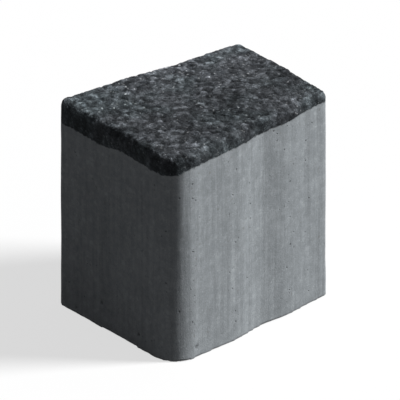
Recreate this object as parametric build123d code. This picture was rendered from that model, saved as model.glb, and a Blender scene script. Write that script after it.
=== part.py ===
from build123d import *
import math
import os

# Wedge-shaped concrete paver, pressed in one piece. Millimetres, +Z up.
# X runs along the course of paving, Y across it, and the wedge narrows towards +Y.
# The origin is the centre of the bed, the underside that lies on the sand.

# Main sizes
thickness = 80.0
front_width = 66.0
depth = 77.0

# How far each joint face turns in towards the back, in degrees
left_lean = 6.2
right_lean = 7.0

# Upright corners: the front right one is worn round, the others are nearly sharp
front_right_radius = 9.5
front_left_radius = 4.0
back_right_radius = 3.0
back_left_radius = 4.0

# Rounding of the edge all round the wearing face, and the least flat rounding that a corner keeps outside it
rim_radius = 2.5
corner_reserve = 0.3

# The worn mould leaves soft waves on the four upright faces, which run their full height.
# Each crest or hollow has its place as a share of its face, and how far it stands out, in mm.
front_wave = [(0.25, 0.2), (0.5, -0.15), (0.78, 0.1)]
right_wave = [(0.27, -0.35), (0.42, 0.05), (0.565, -1.0), (0.7, 0.2), (0.82, -0.1)]
back_wave = [(0.25, -0.35), (0.5, 0.3), (0.78, -0.3)]
left_wave = [(0.2, 0.2), (0.38, -0.6), (0.6, 0.25), (0.8, -0.45)]


def joint_face_line(start, end, wave):
    """Plan line of one upright face: a smooth curve from corner to corner through its crests and hollows."""
    along = end - start
    outward = Vector(along.Y, -along.X, 0).normalized()
    crests = [start + along * share + outward * stands_out for share, stands_out in wave]
    return Spline(start, *crests, end)


# Corners of the wedge in plan, before they are rounded
front_left = Vector(0, 0, 0)
front_right = Vector(front_width, 0, 0)
back_right = Vector(front_width - depth * math.tan(math.radians(right_lean)), depth, 0)
back_left = Vector(depth * math.tan(math.radians(left_lean)), depth, 0)

outline = [
    joint_face_line(front_left, front_right, front_wave),
    joint_face_line(front_right, back_right, right_wave),
    joint_face_line(back_right, back_left, back_wave),
    joint_face_line(back_left, front_left, left_wave),
]
paver = extrude(make_face(outline), amount=thickness)

# Upright corners
corner_radii = [
    (front_left, front_left_radius),
    (front_right, front_right_radius),
    (back_right, back_right_radius),
    (back_left, back_left_radius),
]
for corner, radius in corner_radii:
    corner_edge = paver.edges().filter_by(Axis.Z).sort_by_distance(corner)[0]
    paver = fillet(corner_edge, radius)

# Rim of the wearing face, never rounder than the sharpest upright corner allows
sharpest_corner = min(radius for corner, radius in corner_radii)
wearing_face = paver.faces().sort_by(Axis.Z)[-1]
paver = fillet(wearing_face.edges(), min(rim_radius, sharpest_corner - corner_reserve))

# The bed's centre goes to the origin
box = paver.bounding_box()
paver = Pos(-box.center().X, -box.center().Y, 0) * paver

os.makedirs("parts", exist_ok=True)
export_step(paver, "parts/paver.step")
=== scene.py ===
import math

import bmesh
import bpy
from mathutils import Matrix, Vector, noise
from mathutils.bvhtree import BVHTree


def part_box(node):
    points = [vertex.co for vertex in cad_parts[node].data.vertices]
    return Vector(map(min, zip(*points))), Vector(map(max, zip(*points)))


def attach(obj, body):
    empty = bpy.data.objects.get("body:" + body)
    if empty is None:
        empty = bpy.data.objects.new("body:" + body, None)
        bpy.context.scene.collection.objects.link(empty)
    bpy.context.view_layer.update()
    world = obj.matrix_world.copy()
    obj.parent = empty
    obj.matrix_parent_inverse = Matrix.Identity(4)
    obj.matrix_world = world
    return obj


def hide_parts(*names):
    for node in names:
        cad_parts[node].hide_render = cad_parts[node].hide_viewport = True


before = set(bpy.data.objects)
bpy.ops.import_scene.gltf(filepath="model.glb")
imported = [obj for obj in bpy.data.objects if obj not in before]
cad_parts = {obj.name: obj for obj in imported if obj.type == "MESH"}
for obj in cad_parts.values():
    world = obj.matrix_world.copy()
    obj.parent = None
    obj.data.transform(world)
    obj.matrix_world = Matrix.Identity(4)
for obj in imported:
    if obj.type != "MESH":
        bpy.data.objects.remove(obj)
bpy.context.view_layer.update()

# Paver
# One wedge of concrete, stamped in a steel mould from two fills of damp mix and cured as one block.
# A plain grey core mix makes the body, and 4 to 8 mm of dark anthracite grit mix makes the wearing face.
# It is held by nothing: it stands on its bed and is kept in place by sand in the joints.
mm = 0.001
paver_low, paver_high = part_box("paver")
paver_top = paver_high.z / mm
paver_front = paver_low.y / mm

# Coarse even skin over the moulded shape. Its sizes, and those of the relief below, are in mm
skin_step = 0.7
merge_distance = 0.01

moulded = bmesh.new()
moulded.from_mesh(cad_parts["paver"].data)
bmesh.ops.remove_doubles(moulded, verts=moulded.verts, dist=merge_distance * mm)
blank_mesh = bpy.data.meshes.new("paver_blank")
moulded.to_mesh(blank_mesh)
blank = bpy.data.objects.new("paver_blank", blank_mesh)
bpy.context.scene.collection.objects.link(blank)
even_skin = blank.modifiers.new("even_skin", "REMESH")
even_skin.mode = "VOXEL"
even_skin.voxel_size = skin_step * mm
skin_mesh = bpy.data.meshes.new_from_object(blank.evaluated_get(bpy.context.evaluated_depsgraph_get()))
bpy.data.objects.remove(blank)

# Finer skin on the wearing face and its rim, where the grit shows
fine_skin_depth = 3.2

skin = bmesh.new()
skin.from_mesh(skin_mesh)
fine_level = (paver_top - fine_skin_depth) * mm
fine_edges = [edge for edge in skin.edges if min(end.co.z for end in edge.verts) > fine_level]
bmesh.ops.subdivide_edges(skin, edges=fine_edges, cuts=1, use_grid_fill=True)


def ramp(value, start, end):
    """Rises smoothly from 0 at start to 1 at end."""
    share = min(1.0, max(0.0, (value - start) / (end - start)))
    return share * share * (3 - 2 * share)


def nearest_centre(place, spacing, scatter):
    """Distance in spacings to the nearest of many scattered centres, and its own number from 0 to 1.

    Scatter sets the numbers of one kind of centre apart from those of another.
    """
    distances, centres = noise.voronoi(place / spacing)
    return distances[0], 0.5 + 0.5 * noise.cell(centres[0] * scatter)


def stone_at(place, size):
    """Rounded stone in a grit of one size: its height at a point, from 0 to 1, and the stone's own number."""
    stone_reach = 0.8
    distance, own_number = nearest_centre(place, size, scatter=37.0)
    return max(0.0, 1.0 - (distance / stone_reach) ** 2), own_number


def hole_at(place, spacing, share, smallest, largest):
    """Depth from 0 to 1 of scattered round holes, in a share of the places where one could be."""
    flat_floor = 0.35
    distance, own_number = nearest_centre(place, spacing, scatter=53.0)
    if own_number > share:
        return 0.0
    radius = smallest + (largest - smallest) * own_number / share
    return ramp(distance * spacing, radius, radius * flat_floor)


def swell_at(place, size):
    """Gentle swell of a whole face, off its line and about 0 on average."""
    swell_height = 0.12
    return swell_height * noise.fractal(place / size, 1.0, 2.0, 3)


def wearing_face_relief(place):
    """Height off the mould's line, painted shade of its hollows, and stone shade of the open grit on the
    wearing face.
    """
    stone_size = 2.3
    crumb_size = 1.15
    crumb_share = 0.5
    pressed_level = 0.72
    left_above_it = 0.18
    middle_level = 0.5
    grit_height = 0.62
    hole_depth = 0.42
    stone, stone_number = stone_at(place, stone_size)
    crumb, crumb_number = stone_at(place, crumb_size)
    hole = hole_at(place, spacing=3.4, share=0.34, smallest=0.4, largest=0.95)
    heap = stone * (0.45 + 0.55 * stone_number) + crumb_share * crumb * (0.4 + 0.6 * crumb_number)
    pressed_flat = min(heap, pressed_level + left_above_it * (heap - pressed_level))
    height = grit_height * (pressed_flat - middle_level) + swell_at(place, size=19.0) - hole_depth * hole
    # Painted shade: darker between the stones and in the holes
    hollow_shade = min(1.0, 0.85 * ramp(heap, 0.5, 0.02) + 0.9 * hole)
    return height, hollow_shade, 0.65 * stone_number + 0.35 * crumb_number


def joint_face_relief(place):
    """The same three values on an upright face, dragged smooth by the mould as the block was pushed out."""
    streak_width = 2.6
    streak_squash = 0.06
    streak_height = 0.08
    foot_height = 24.0
    hole_depth = 0.4
    drawn = Vector((place.x, place.y, place.z * streak_squash))
    streak = noise.fractal(drawn / streak_width, 0.7, 2.1, 3)
    hole_share = 0.05 + 0.2 * ramp(place.z, foot_height, 1.0)
    hole = hole_at(place, spacing=4.2, share=hole_share, smallest=0.4, largest=0.95)
    height = streak_height * streak + swell_at(place, size=16.0) - hole_depth * hole
    # Painted shade: darker in the holes and in the troughs of the streaks
    hollow_shade = min(1.0, hole + 0.12 * max(0.0, -streak))
    return height, hollow_shade, 0.44 + 0.4 * streak


def bed_relief(place):
    """The same three values on the bed, printed by the board that the block cured on."""
    print_size = 3.1
    print_height = 0.3
    middle_level = 0.75
    hole_depth = 0.55
    stone, stone_number = stone_at(place, print_size)
    hole = hole_at(place, spacing=4.6, share=0.5, smallest=0.6, largest=1.5)
    height = print_height * (stone * (0.4 + 0.6 * stone_number) - middle_level) - hole_depth * hole
    # Painted shade: darker between the printed stones and in the holes
    hollow_shade = min(1.0, 0.6 * (1 - stone) + 0.9 * hole)
    return height, hollow_shade, 0.4 + 0.3 * stone_number


def edge_wear(place, tilt):
    """How far the rim or the foot has crumbled back. Tilt is 1 on the wearing face and -1 on the bed."""
    wear_size = 5.0
    rim_wear = 0.55
    rim_chip = 0.6
    foot_wear = 0.35
    foot_chip = 0.35
    turned = 4 * abs(tilt) * (1 - abs(tilt))
    worn = ramp(noise.fractal(place / wear_size, 0.8, 2.2, 3), -0.35, 0.75)
    chip = hole_at(place, spacing=8.5, share=0.3, smallest=1.6, largest=2.9)
    if tilt > 0:
        return turned * (rim_wear * worn + rim_chip * chip)
    return turned * (foot_wear * worn + foot_chip * chip)


# Relief of the whole skin, worked into the mesh, with the painted shade of its hollows and its stone shades
# kept for the colours.
# A face counts as upright or level by its outward tilt, and the rim is a blend of both
upright_tilt = 0.25
level_tilt = 0.9

mould_line = BVHTree.FromBMesh(moulded)
# Shade painted into the hollows is kept in its own layer for the colours
hollow_shade_layer = skin.verts.layers.float.new("hollow_shade")
shade_layer = skin.verts.layers.float.new("stone_shade")
for point in skin.verts:
    on_mould, outward = mould_line.find_nearest(point.co)[:2]
    place = on_mould / mm
    zones = (
        (ramp(outward.z, upright_tilt, level_tilt), wearing_face_relief),
        (ramp(abs(outward.z), level_tilt, upright_tilt), joint_face_relief),
        (ramp(-outward.z, upright_tilt, level_tilt), bed_relief),
    )
    height = -edge_wear(place, outward.z)
    hollow_shade = 0.0
    shade = 0.0
    for share, relief in zones:
        if share > 0:
            zone_height, zone_hollow_shade, zone_shade = relief(place)
            height += share * zone_height
            hollow_shade += share * zone_hollow_shade
            shade += share * zone_shade
    point.co = on_mould + outward * height * mm
    point[hollow_shade_layer] = hollow_shade
    point[shade_layer] = shade

skin.to_mesh(skin_mesh)
skin_mesh.shade_smooth()
paver = bpy.data.objects.new("concrete_paver", skin_mesh)
bpy.context.scene.collection.objects.link(paver)


def add_node(tree, kind, settings=None, **sockets):
    """Adds a shader node, sets its properties and the values of its named sockets, and returns it."""
    made = tree.nodes.new(kind)
    for name, value in (settings or {}).items():
        setattr(made, name, value)
    for name, value in sockets.items():
        made.inputs[name.replace("_", " ")].default_value = value
    return made


def feed(tree, value, socket):
    """Gives a socket its value: another node's output, or a plain number or colour."""
    if isinstance(value, bpy.types.NodeSocket):
        tree.links.new(value, socket)
    else:
        socket.default_value = value


def math_node(tree, operation, first, second):
    """A sum on two values, each a number or another node's output."""
    made = add_node(tree, "ShaderNodeMath", {"operation": operation})
    feed(tree, first, made.inputs[0])
    feed(tree, second, made.inputs[1])
    return made.outputs[0]


def product(tree, first, second):
    """One value times another."""
    return math_node(tree, "MULTIPLY", first, second)


def total(tree, first, second):
    """One value plus another."""
    return math_node(tree, "ADD", first, second)


def spread(tree, value, low, high, to_low=0.0, to_high=1.0, smooth=True):
    """Moves a value from one range to another and holds it there."""
    kind = "SMOOTHSTEP" if smooth else "LINEAR"
    made = add_node(tree, "ShaderNodeMapRange", {"interpolation_type": kind})
    for number, amount in enumerate((value, low, high, to_low, to_high)):
        feed(tree, amount, made.inputs[number])
    return made.outputs[0]


def blend_values(tree, share, first, second):
    """Mixes two values by a share."""
    made = add_node(tree, "ShaderNodeMix", {"data_type": "FLOAT"})
    feed(tree, share, made.inputs[0])
    feed(tree, first, made.inputs[2])
    feed(tree, second, made.inputs[3])
    return made.outputs[0]


def blend_colours(tree, share, first, second, how="MIX"):
    """Mixes two colours by a share, or as how says."""
    made = add_node(tree, "ShaderNodeMix", {"data_type": "RGBA", "blend_type": how})
    feed(tree, share, made.inputs["Factor"])
    feed(tree, first, made.inputs[6])
    feed(tree, second, made.inputs[7])
    return made.outputs[2]


def toned(tree, colour, tone):
    """A colour times a tone or a tint, where 1 leaves it as it is."""
    return blend_colours(tree, 1.0, colour, tone, "MULTIPLY")


def speckle(tree, place, size, detail=3.0, rough=0.6):
    """Cloudy noise of one size in mm, about 0.5 on average."""
    made = add_node(tree, "ShaderNodeTexNoise", Scale=1 / size, Detail=detail, Roughness=rough)
    tree.links.new(place, made.inputs["Vector"])
    return made.outputs[0]


def stretched(tree, cloudy, lowest, highest):
    """Turns cloudy noise, which keeps mostly between 0.3 and 0.7, into values from lowest to highest."""
    return spread(tree, cloudy, 0.3, 0.7, lowest, highest, smooth=False)


def cells(tree, place, size):
    """Packed cells of one size in mm: each one's random numbers, and the distance to its centre in cells."""
    made = add_node(tree, "ShaderNodeTexVoronoi", Scale=1 / size)
    tree.links.new(place, made.inputs["Vector"])
    own_numbers = add_node(tree, "ShaderNodeSeparateColor")
    tree.links.new(made.outputs["Color"], own_numbers.inputs[0])
    return own_numbers.outputs, made.outputs["Distance"]


def grains(tree, place, size):
    """Packed grains of one size in mm: each one's random numbers, and 1 inside it to 0 at its edge."""
    edge_share = 0.26
    own_numbers = cells(tree, place, size)[0]
    edges = add_node(tree, "ShaderNodeTexVoronoi", {"feature": "DISTANCE_TO_EDGE"}, Scale=1 / size)
    tree.links.new(place, edges.inputs["Vector"])
    return own_numbers, spread(tree, edges.outputs["Distance"], 0.0, edge_share)


# Sizes of what a mix of concrete shows, in mm, from its broad drifts of colour down to its dust
cloud_size = 17.0
patch_size = 3.2
grit_size = 1.9
pore_spacing = 1.6
jag_size = 0.9
sand_size = 0.8
dust_size = 0.45


def concrete_grain():
    """Node group: the mottled colour and the sandy height of one mix of concrete, from a place in mm."""
    group = bpy.data.node_groups.new("concrete_grain", "ShaderNodeTree")
    inputs = (
        ("Place", "NodeSocketVector"),
        ("Dark", "NodeSocketColor"),
        ("Light", "NodeSocketColor"),
        ("Stone colour", "NodeSocketColor"),
        ("Stone share", "NodeSocketFloat"),
        ("Sand contrast", "NodeSocketFloat"),
        ("Pore share", "NodeSocketFloat"),
    )
    for name, kind in inputs:
        group.interface.new_socket(name, in_out="INPUT", socket_type=kind)
    group.interface.new_socket("Colour", in_out="OUTPUT", socket_type="NodeSocketColor")
    group.interface.new_socket("Height", in_out="OUTPUT", socket_type="NodeSocketFloat")
    given = group.nodes.new("NodeGroupInput")
    result = group.nodes.new("NodeGroupOutput")
    place = given.outputs["Place"]
    contrast = given.outputs["Sand contrast"]

    # Broad drifts of colour with small patches on them
    patch_share = 0.6
    cloud = spread(group, speckle(group, place, cloud_size, detail=4.0), 0.34, 0.66)
    patch = spread(group, speckle(group, place, patch_size, detail=2.0), 0.33, 0.67)
    drift = blend_values(group, patch_share, cloud, patch)
    ground = blend_colours(group, drift, given.outputs["Dark"], given.outputs["Light"])

    # Jagged grains: grit in a little under half of its places, and sand in the rest
    jags = add_node(group, "ShaderNodeTexNoise", Scale=1 / jag_size, Detail=2.0)
    group.links.new(place, jags.inputs["Vector"])
    jagged = add_node(group, "ShaderNodeVectorMath", {"operation": "MULTIPLY_ADD"})
    group.links.new(jags.outputs["Color"], jagged.inputs[0])
    jagged.inputs[1].default_value = (jag_size, jag_size, jag_size)
    group.links.new(place, jagged.inputs[2])
    grit_number, grit_body = grains(group, jagged.outputs[0], grit_size)
    sand_number, sand_body = grains(group, jagged.outputs[0], sand_size)
    is_grit = product(group, grit_body, spread(group, grit_number[0], 0.5, 0.56))
    number = blend_values(group, is_grit, sand_number[1], grit_number[1])
    body = blend_values(group, is_grit, sand_body, grit_body)

    # Each grain has a shade of its own, mostly a dark one, and the paste between them is darker: partly its
    # own colour, partly painted shade in the grooves
    brightest_lift = 1.9
    paste_and_groove_shade_dip = 0.62
    darkest = math_node(group, "SUBTRACT", 1.0, contrast)
    lightest = total(group, product(group, contrast, brightest_lift), 1.0)
    grain_tone = blend_values(group, math_node(group, "POWER", number, 1.5), darkest, lightest)
    paste_and_groove_shade = math_node(group, "SUBTRACT", 1.0, product(group, contrast, paste_and_groove_shade_dip))
    colour = toned(group, ground, blend_values(group, body, paste_and_groove_shade, grain_tone))

    # Dust over all of it
    dust = speckle(group, place, dust_size, detail=2.0, rough=0.7)
    dust_swing = product(group, contrast, 0.7)
    dust_low = math_node(group, "SUBTRACT", 1.0, dust_swing)
    dust_high = total(group, dust_swing, 1.0)
    colour = toned(group, colour, stretched(group, dust, dust_low, dust_high))

    # A few pale stones
    is_stone = math_node(group, "LESS_THAN", sand_number[0], given.outputs["Stone share"])
    stone = product(group, is_stone, sand_body)
    colour = blend_colours(group, stone, colour, given.outputs["Stone colour"])

    # Pin pores in a share of their places, with their radius as a share of their spacing, and shade painted
    # dark in them
    smallest_pore = 0.1
    largest_pore = 0.3
    pore_floor = 0.4
    pore_shade = 0.5
    pore_number, from_pore = cells(group, jagged.outputs[0], pore_spacing)
    is_pore = math_node(group, "LESS_THAN", pore_number[0], given.outputs["Pore share"])
    radius = blend_values(group, pore_number[1], smallest_pore, largest_pore)
    pore = product(group, is_pore, spread(group, from_pore, radius, product(group, radius, pore_floor)))
    colour = toned(group, colour, blend_values(group, pore, 1.0, pore_shade))
    group.links.new(colour, result.inputs["Colour"])

    # Their heights together
    grain_height = 0.75
    dust_height = 0.7
    pore_depth = 1.2
    height = product(group, product(group, body, contrast), grain_height)
    height = total(group, height, product(group, dust, dust_height))
    height = math_node(group, "SUBTRACT", height, product(group, pore, pore_depth))
    group.links.new(height, result.inputs["Height"])
    return group


# Line between the two fills, as its depth below the wearing face in mm. The dark mix thins towards the back,
# and the mould dragged it lower in a strip along the front face, lower and over a wider strip on the left.
# Where the drag and the strip change is given along the front, from its middle
dark_depth = 4.6
thinning_per_mm = 0.018
left_drag = 3.3
right_drag = 1.9
drag_changes = (-9.0, 6.0)
left_strip = 26.0
right_strip = 9.5
strip_changes = (-30.0, 10.0)
full_drag_strip = 2.0
sag_size = 14.0
line_sag = 0.35
rag_size = 1.7
line_rag = 0.35
line_softness = 0.25


def face_mix_share(tree, place, along, across, up):
    """1 in the dark face mix and 0 in the grey core, with a slightly ragged line between them."""
    front_drag = spread(tree, along, *drag_changes, left_drag, right_drag)
    drag_start = spread(tree, along, *strip_changes, paver_front + left_strip, paver_front + right_strip)
    dragged = spread(tree, across, drag_start, paver_front + full_drag_strip, 0.0, front_drag)
    sag = stretched(tree, speckle(tree, place, sag_size, detail=2.0), -line_sag, line_sag)
    rag = stretched(tree, speckle(tree, place, rag_size), -line_rag, line_rag)
    depth = total(tree, product(tree, across, -thinning_per_mm), dark_depth)
    depth = total(tree, depth, dragged)
    depth = total(tree, depth, total(tree, sag, rag))
    past_line = math_node(tree, "SUBTRACT", up, math_node(tree, "SUBTRACT", paver_top, depth))
    return spread(tree, past_line, -line_softness, line_softness)


# Tones of the dark mix, where 1 is its plain colour: its stones' own shades, and that of its upright faces.
# The open face's weathering fades in over the rim, between two depths below the wearing face, in mm
darkest_stone = 0.55
palest_stone = 2.3
upright_tone = 0.95
fade_start = 2.6
fade_end = 1.0


def dark_mix_tone(tree, along, up):
    """Tone of the dark mix: each stone has its own shade, and the open face is palest on its left."""
    shade = add_node(tree, "ShaderNodeAttribute", {"attribute_name": "stone_shade"}).outputs["Fac"]
    stone_tone = blend_values(tree, math_node(tree, "POWER", shade, 2.5), darkest_stone, palest_stone)
    paler_left = spread(tree, along, low=-24.0, high=1.0, to_low=1.72, to_high=0.85, smooth=False)
    paler_right = spread(tree, along, low=8.0, high=26.0, to_low=1.0, to_high=1.28, smooth=False)
    is_open_face = spread(tree, up, paver_top - fade_start, paver_top - fade_end)
    weathered = blend_values(tree, is_open_face, upright_tone, product(tree, paler_left, paler_right))
    return product(tree, stone_tone, weathered)


# The two mixes, under the names of the grain group's sockets, and the drift of the dark one's pigment
face_mix = {
    "Dark": (0.012, 0.014, 0.016, 1),
    "Light": (0.105, 0.115, 0.124, 1),
    "Stone colour": (0.19, 0.20, 0.205, 1),
    "Stone share": 0.03,
    "Sand contrast": 0.42,
    "Pore share": 0.12,
}
core_mix = {
    "Dark": (0.228, 0.247, 0.259, 1),
    "Light": (0.285, 0.307, 0.321, 1),
    "Stone colour": (0.21, 0.22, 0.225, 1),
    "Stone share": 0.012,
    "Sand contrast": 0.075,
    "Pore share": 0.16,
}
pigment_size = 24.0
bluish_tint = (0.94, 1.01, 1.01, 1)
purple_tint = (1.0, 0.985, 1.005, 1)


def concrete_material(grain):
    """Grey core and dark face mix, pressed together in one block."""
    dull_specular = 0.08
    material = bpy.data.materials.new("two_fill_concrete")
    material.use_nodes = True
    tree = material.node_tree
    shader = tree.nodes["Principled BSDF"]
    shader.inputs["Specular IOR Level"].default_value = dull_specular

    seat = add_node(tree, "ShaderNodeTexCoord")
    in_mm = add_node(tree, "ShaderNodeVectorMath", {"operation": "SCALE"}, Scale=1 / mm)
    tree.links.new(seat.outputs["Object"], in_mm.inputs[0])
    place = in_mm.outputs[0]
    axes = add_node(tree, "ShaderNodeSeparateXYZ")
    tree.links.new(place, axes.inputs[0])
    along, across, up = axes.outputs
    is_face_mix = face_mix_share(tree, place, along, across, up)

    def mix_of(values):
        made = add_node(tree, "ShaderNodeGroup", {"node_tree": grain})
        tree.links.new(place, made.inputs["Place"])
        for name, value in values.items():
            made.inputs[name].default_value = value
        return made.outputs["Colour"], made.outputs["Height"]

    # Dark face mix, whose pigment drifts from bluish to faintly purple
    face_colour, face_grain = mix_of(face_mix)
    face_colour = toned(tree, face_colour, dark_mix_tone(tree, along, up))
    pigment = spread(tree, speckle(tree, place, pigment_size, detail=2.0), 0.4, 0.62)
    face_colour = toned(tree, face_colour, blend_colours(tree, pigment, bluish_tint, purple_tint))

    # Grey core, with upright streaks and fine scratches where the mould dragged the wet paste
    streak_size = 2.4
    scratch_size = 0.9
    upright_squash = 0.045
    core_colour, core_grain = mix_of(core_mix)
    drawn = add_node(tree, "ShaderNodeVectorMath", {"operation": "MULTIPLY"})
    drawn.inputs[1].default_value = (1, 1, upright_squash)
    tree.links.new(place, drawn.inputs[0])
    streak = speckle(tree, drawn.outputs[0], streak_size, detail=4.0, rough=0.65)
    scratch = speckle(tree, drawn.outputs[0], scratch_size, detail=2.0, rough=0.5)
    core_colour = toned(tree, core_colour, stretched(tree, streak, 0.88, 1.11))
    core_colour = toned(tree, core_colour, stretched(tree, scratch, 0.975, 1.025))

    # Both together, with shade painted darker into their hollows, and a little less dull on the grains than
    # in the paste
    deepest_hollow_shade = 0.42
    colour = blend_colours(tree, is_face_mix, core_colour, face_colour)
    hollow_shade = add_node(tree, "ShaderNodeAttribute", {"attribute_name": "hollow_shade"}).outputs["Fac"]
    colour = toned(tree, colour, spread(tree, hollow_shade, 0.05, 0.95, 1.0, deepest_hollow_shade, smooth=False))
    tree.links.new(colour, shader.inputs["Base Color"])
    roughness = spread(tree, face_grain, low=0.3, high=1.0, to_low=0.95, to_high=0.8, smooth=False)
    tree.links.new(roughness, shader.inputs["Roughness"])

    # Sand, streaks and scratches in the surface, with the sand coarser in the face mix
    core_sand_height = 0.17
    face_sand_height = 0.34
    streak_height = 0.1
    scratch_height = 0.035
    core_height = product(tree, core_grain, core_sand_height)
    face_height = product(tree, face_grain, face_sand_height)
    sand_height = blend_values(tree, is_face_mix, core_height, face_height)
    drawn_height = total(tree, product(tree, streak, streak_height), product(tree, scratch, scratch_height))
    bump = add_node(tree, "ShaderNodeBump", Strength=1.0, Distance=mm)
    tree.links.new(total(tree, sand_height, drawn_height), bump.inputs["Height"])
    tree.links.new(bump.outputs[0], shader.inputs["Normal"])
    return material


paver.data.materials.clear()
paver.data.materials.append(concrete_material(concrete_grain()))
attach(paver, "root")
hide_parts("paver")

# Floor
# A plain pale sheet that the paver stands on, much larger than the view, so that its far edge never shows.
# It looks near white to the camera and keeps the paver's shadow, and throws only a little light back.
floor_size = 6.0
glow_share = 0.66
seen_grey = (0.80, 0.80, 0.80, 1)
bounce_grey = (0.10, 0.10, 0.10, 1)
white = (1, 1, 1, 1)

floor_shape = bmesh.new()
bmesh.ops.create_grid(floor_shape, x_segments=1, y_segments=1, size=floor_size / 2)
floor_mesh = bpy.data.meshes.new("floor")
floor_shape.to_mesh(floor_mesh)
floor = bpy.data.objects.new("floor", floor_mesh)
bpy.context.scene.collection.objects.link(floor)

floor_paint = bpy.data.materials.new("pale_floor")
floor_paint.use_nodes = True
floor_tree = floor_paint.node_tree
floor_tree.nodes.clear()
seen_diffuse = add_node(floor_tree, "ShaderNodeBsdfDiffuse", Color=seen_grey)
seen_glow = add_node(floor_tree, "ShaderNodeEmission", Color=white, Strength=1.0)
bounce_diffuse = add_node(floor_tree, "ShaderNodeBsdfDiffuse", Color=bounce_grey)
seen_floor = add_node(floor_tree, "ShaderNodeMixShader", Fac=glow_share)
floor_tree.links.new(seen_diffuse.outputs[0], seen_floor.inputs[1])
floor_tree.links.new(seen_glow.outputs[0], seen_floor.inputs[2])


def seen_ray(tree):
    """1 for a ray that shows the background: the camera's own, or one mirrored or passed on to it."""
    ray = add_node(tree, "ShaderNodeLightPath")
    seen = math_node(tree, "MAXIMUM", ray.outputs["Is Camera Ray"], ray.outputs["Is Glossy Ray"])
    return math_node(tree, "MAXIMUM", seen, ray.outputs["Is Transmission Ray"])


floor_choice = add_node(floor_tree, "ShaderNodeMixShader")
floor_tree.links.new(seen_ray(floor_tree), floor_choice.inputs[0])
floor_tree.links.new(bounce_diffuse.outputs[0], floor_choice.inputs[1])
floor_tree.links.new(seen_floor.outputs[0], floor_choice.inputs[2])
floor_output = add_node(floor_tree, "ShaderNodeOutputMaterial")
floor_tree.links.new(floor_choice.outputs[0], floor_output.inputs["Surface"])
floor.data.materials.append(floor_paint)

# Studio light
# One large soft lamp high on the right lights the end face and the wearing face, and leaves the front dark.
# A weak even sky fills the shade, and looks white wherever the camera sees it.
lamp_turn = 53.0
lamp_height = 40.0
lamp_strength = 5.4
lamp_softness = 14.0
sky_strength = 0.145
sky_tint = (0.985, 0.965, 1, 1)


def direction(turn, height):
    """Unit vector from the paver to a place, given by its degrees round from +X and above level."""
    turn = math.radians(turn)
    height = math.radians(height)
    return Vector((math.cos(turn) * math.cos(height), math.sin(turn) * math.cos(height), math.sin(height)))


key_lamp = bpy.data.lights.new("key_lamp", "SUN")
key_lamp.energy = lamp_strength
key_lamp.angle = math.radians(lamp_softness)
key = bpy.data.objects.new("key_lamp", key_lamp)
towards_lamp = direction(lamp_turn, lamp_height)
key.location = towards_lamp
key.rotation_euler = towards_lamp.to_track_quat("Z", "Y").to_euler()
bpy.context.scene.collection.objects.link(key)

sky = bpy.data.worlds.new("studio")
bpy.context.scene.world = sky
sky.use_nodes = True
sky_tree = sky.node_tree
sky_tree.nodes.clear()
seen_sky = add_node(sky_tree, "ShaderNodeBackground", Color=white, Strength=1.0)
fill_sky = add_node(sky_tree, "ShaderNodeBackground", Color=sky_tint, Strength=sky_strength)
sky_choice = add_node(sky_tree, "ShaderNodeMixShader")
sky_tree.links.new(seen_ray(sky_tree), sky_choice.inputs[0])
sky_tree.links.new(fill_sky.outputs[0], sky_choice.inputs[1])
sky_tree.links.new(seen_sky.outputs[0], sky_choice.inputs[2])
sky_output = add_node(sky_tree, "ShaderNodeOutputWorld")
sky_tree.links.new(sky_choice.outputs[0], sky_output.inputs["Surface"])

# Camera
# The picture is a parallel projection from above the rounded corner, so the camera has no perspective.
# It looks along the same line, turned from a square view of the front face, and the paver fills the frame.
front_turn = -90.0
view_turn = 50.47
view_height = 27.56
view_width = 0.139
view_distance = 1.0

camera_data = bpy.data.cameras.new("camera")
camera_data.type = "ORTHO"
camera_data.ortho_scale = view_width
camera = bpy.data.objects.new("camera", camera_data)
towards_camera = direction(front_turn + view_turn, view_height)
view_centre = (paver_low + paver_high) / 2
camera.location = view_centre + towards_camera * view_distance
camera.rotation_euler = towards_camera.to_track_quat("Z", "Y").to_euler()
bpy.context.scene.collection.objects.link(camera)
bpy.context.scene.camera = camera
bpy.context.scene.view_settings.view_transform = "Standard"
